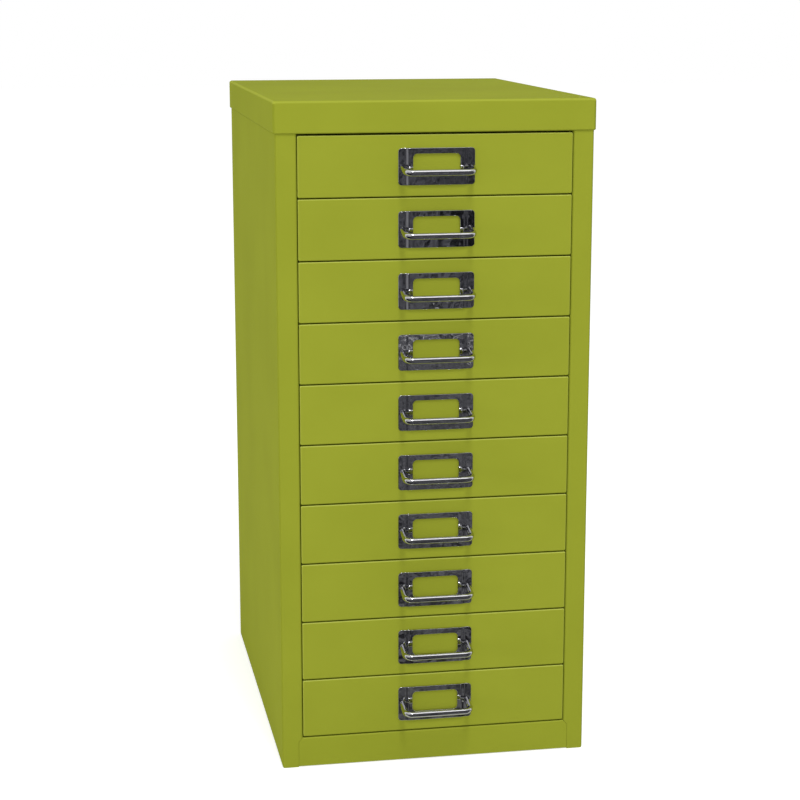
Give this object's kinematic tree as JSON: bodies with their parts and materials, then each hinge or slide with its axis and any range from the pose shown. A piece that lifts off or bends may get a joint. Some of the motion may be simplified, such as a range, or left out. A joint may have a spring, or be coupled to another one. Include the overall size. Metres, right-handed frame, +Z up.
{
  "type": "multi-drawer cabinet",
  "caption": "Free-standing folded-steel cabinet with a column of shallow sliding drawers, each with a plated card-frame pull.",
  "frame": {"origin": "on the floor, under the centre of the cap", "axes": "+X to the right seen from the front, +Y to the back, +Z up; the drawers pull out along -Y"},
  "size_m": [0.279, 0.4005, 0.59],
  "materials": {
    "carcass_paint": "semi-gloss powder coat, olive lime",
    "tray_paint": "semi-gloss powder coat, olive lime",
    "runner_steel": "semi-gloss powder coat, olive lime",
    "chrome_plate": "bright plated"
  },
  "bodies": {
    "cabinet": {"top_cap": "carcass_paint", "left_side_panel": "carcass_paint", "right_side_panel": "carcass_paint", "back_panel": "carcass_paint", "base_pan": "carcass_paint", "plinth_rail": "carcass_paint", "top_front_rail": "carcass_paint", "left_runner_posts": "runner_steel", "right_runner_posts": "runner_steel", "left_runner_01": "runner_steel", "left_runner_02": "runner_steel", "left_runner_03": "runner_steel", "left_runner_04": "runner_steel", "left_runner_05": "runner_steel", "left_runner_06": "runner_steel", "left_runner_07": "runner_steel", "left_runner_08": "runner_steel", "left_runner_09": "runner_steel", "left_runner_10": "runner_steel", "right_runner_01": "runner_steel", "right_runner_02": "runner_steel", "right_runner_03": "runner_steel", "right_runner_04": "runner_steel", "right_runner_05": "runner_steel", "right_runner_06": "runner_steel", "right_runner_07": "runner_steel", "right_runner_08": "runner_steel", "right_runner_09": "runner_steel", "right_runner_10": "runner_steel"},
    "drawer_01": {"drawer_tray_01": "tray_paint", "drawer_front_01": "carcass_paint", "drawer_handle_01": "chrome_plate"},
    "drawer_02": {"drawer_tray_02": "tray_paint", "drawer_front_02": "carcass_paint", "drawer_handle_02": "chrome_plate"},
    "drawer_03": {"drawer_tray_03": "tray_paint", "drawer_front_03": "carcass_paint", "drawer_handle_03": "chrome_plate"},
    "drawer_04": {"drawer_tray_04": "tray_paint", "drawer_front_04": "carcass_paint", "drawer_handle_04": "chrome_plate"},
    "drawer_05": {"drawer_tray_05": "tray_paint", "drawer_front_05": "carcass_paint", "drawer_handle_05": "chrome_plate"},
    "drawer_06": {"drawer_tray_06": "tray_paint", "drawer_front_06": "carcass_paint", "drawer_handle_06": "chrome_plate"},
    "drawer_07": {"drawer_tray_07": "tray_paint", "drawer_front_07": "carcass_paint", "drawer_handle_07": "chrome_plate"},
    "drawer_08": {"drawer_tray_08": "tray_paint", "drawer_front_08": "carcass_paint", "drawer_handle_08": "chrome_plate"},
    "drawer_09": {"drawer_tray_09": "tray_paint", "drawer_front_09": "carcass_paint", "drawer_handle_09": "chrome_plate"},
    "drawer_10": {"drawer_tray_10": "tray_paint", "drawer_front_10": "carcass_paint", "drawer_handle_10": "chrome_plate"}
  },
  "joints": [
    {"name": "drawer_01_slide", "type": "slide", "parent": "cabinet", "child": "drawer_01", "axis": [0, -1, 0], "range_m": [0, 0.28]},
    {"name": "drawer_02_slide", "type": "slide", "parent": "cabinet", "child": "drawer_02", "axis": [0, -1, 0], "range_m": [0, 0.28]},
    {"name": "drawer_03_slide", "type": "slide", "parent": "cabinet", "child": "drawer_03", "axis": [0, -1, 0], "range_m": [0, 0.28]},
    {"name": "drawer_04_slide", "type": "slide", "parent": "cabinet", "child": "drawer_04", "axis": [0, -1, 0], "range_m": [0, 0.28]},
    {"name": "drawer_05_slide", "type": "slide", "parent": "cabinet", "child": "drawer_05", "axis": [0, -1, 0], "range_m": [0, 0.28]},
    {"name": "drawer_06_slide", "type": "slide", "parent": "cabinet", "child": "drawer_06", "axis": [0, -1, 0], "range_m": [0, 0.28]},
    {"name": "drawer_07_slide", "type": "slide", "parent": "cabinet", "child": "drawer_07", "axis": [0, -1, 0], "range_m": [0, 0.28]},
    {"name": "drawer_08_slide", "type": "slide", "parent": "cabinet", "child": "drawer_08", "axis": [0, -1, 0], "range_m": [0, 0.28]},
    {"name": "drawer_09_slide", "type": "slide", "parent": "cabinet", "child": "drawer_09", "axis": [0, -1, 0], "range_m": [0, 0.28]},
    {"name": "drawer_10_slide", "type": "slide", "parent": "cabinet", "child": "drawer_10", "axis": [0, -1, 0], "range_m": [0, 0.28]}
  ]
}
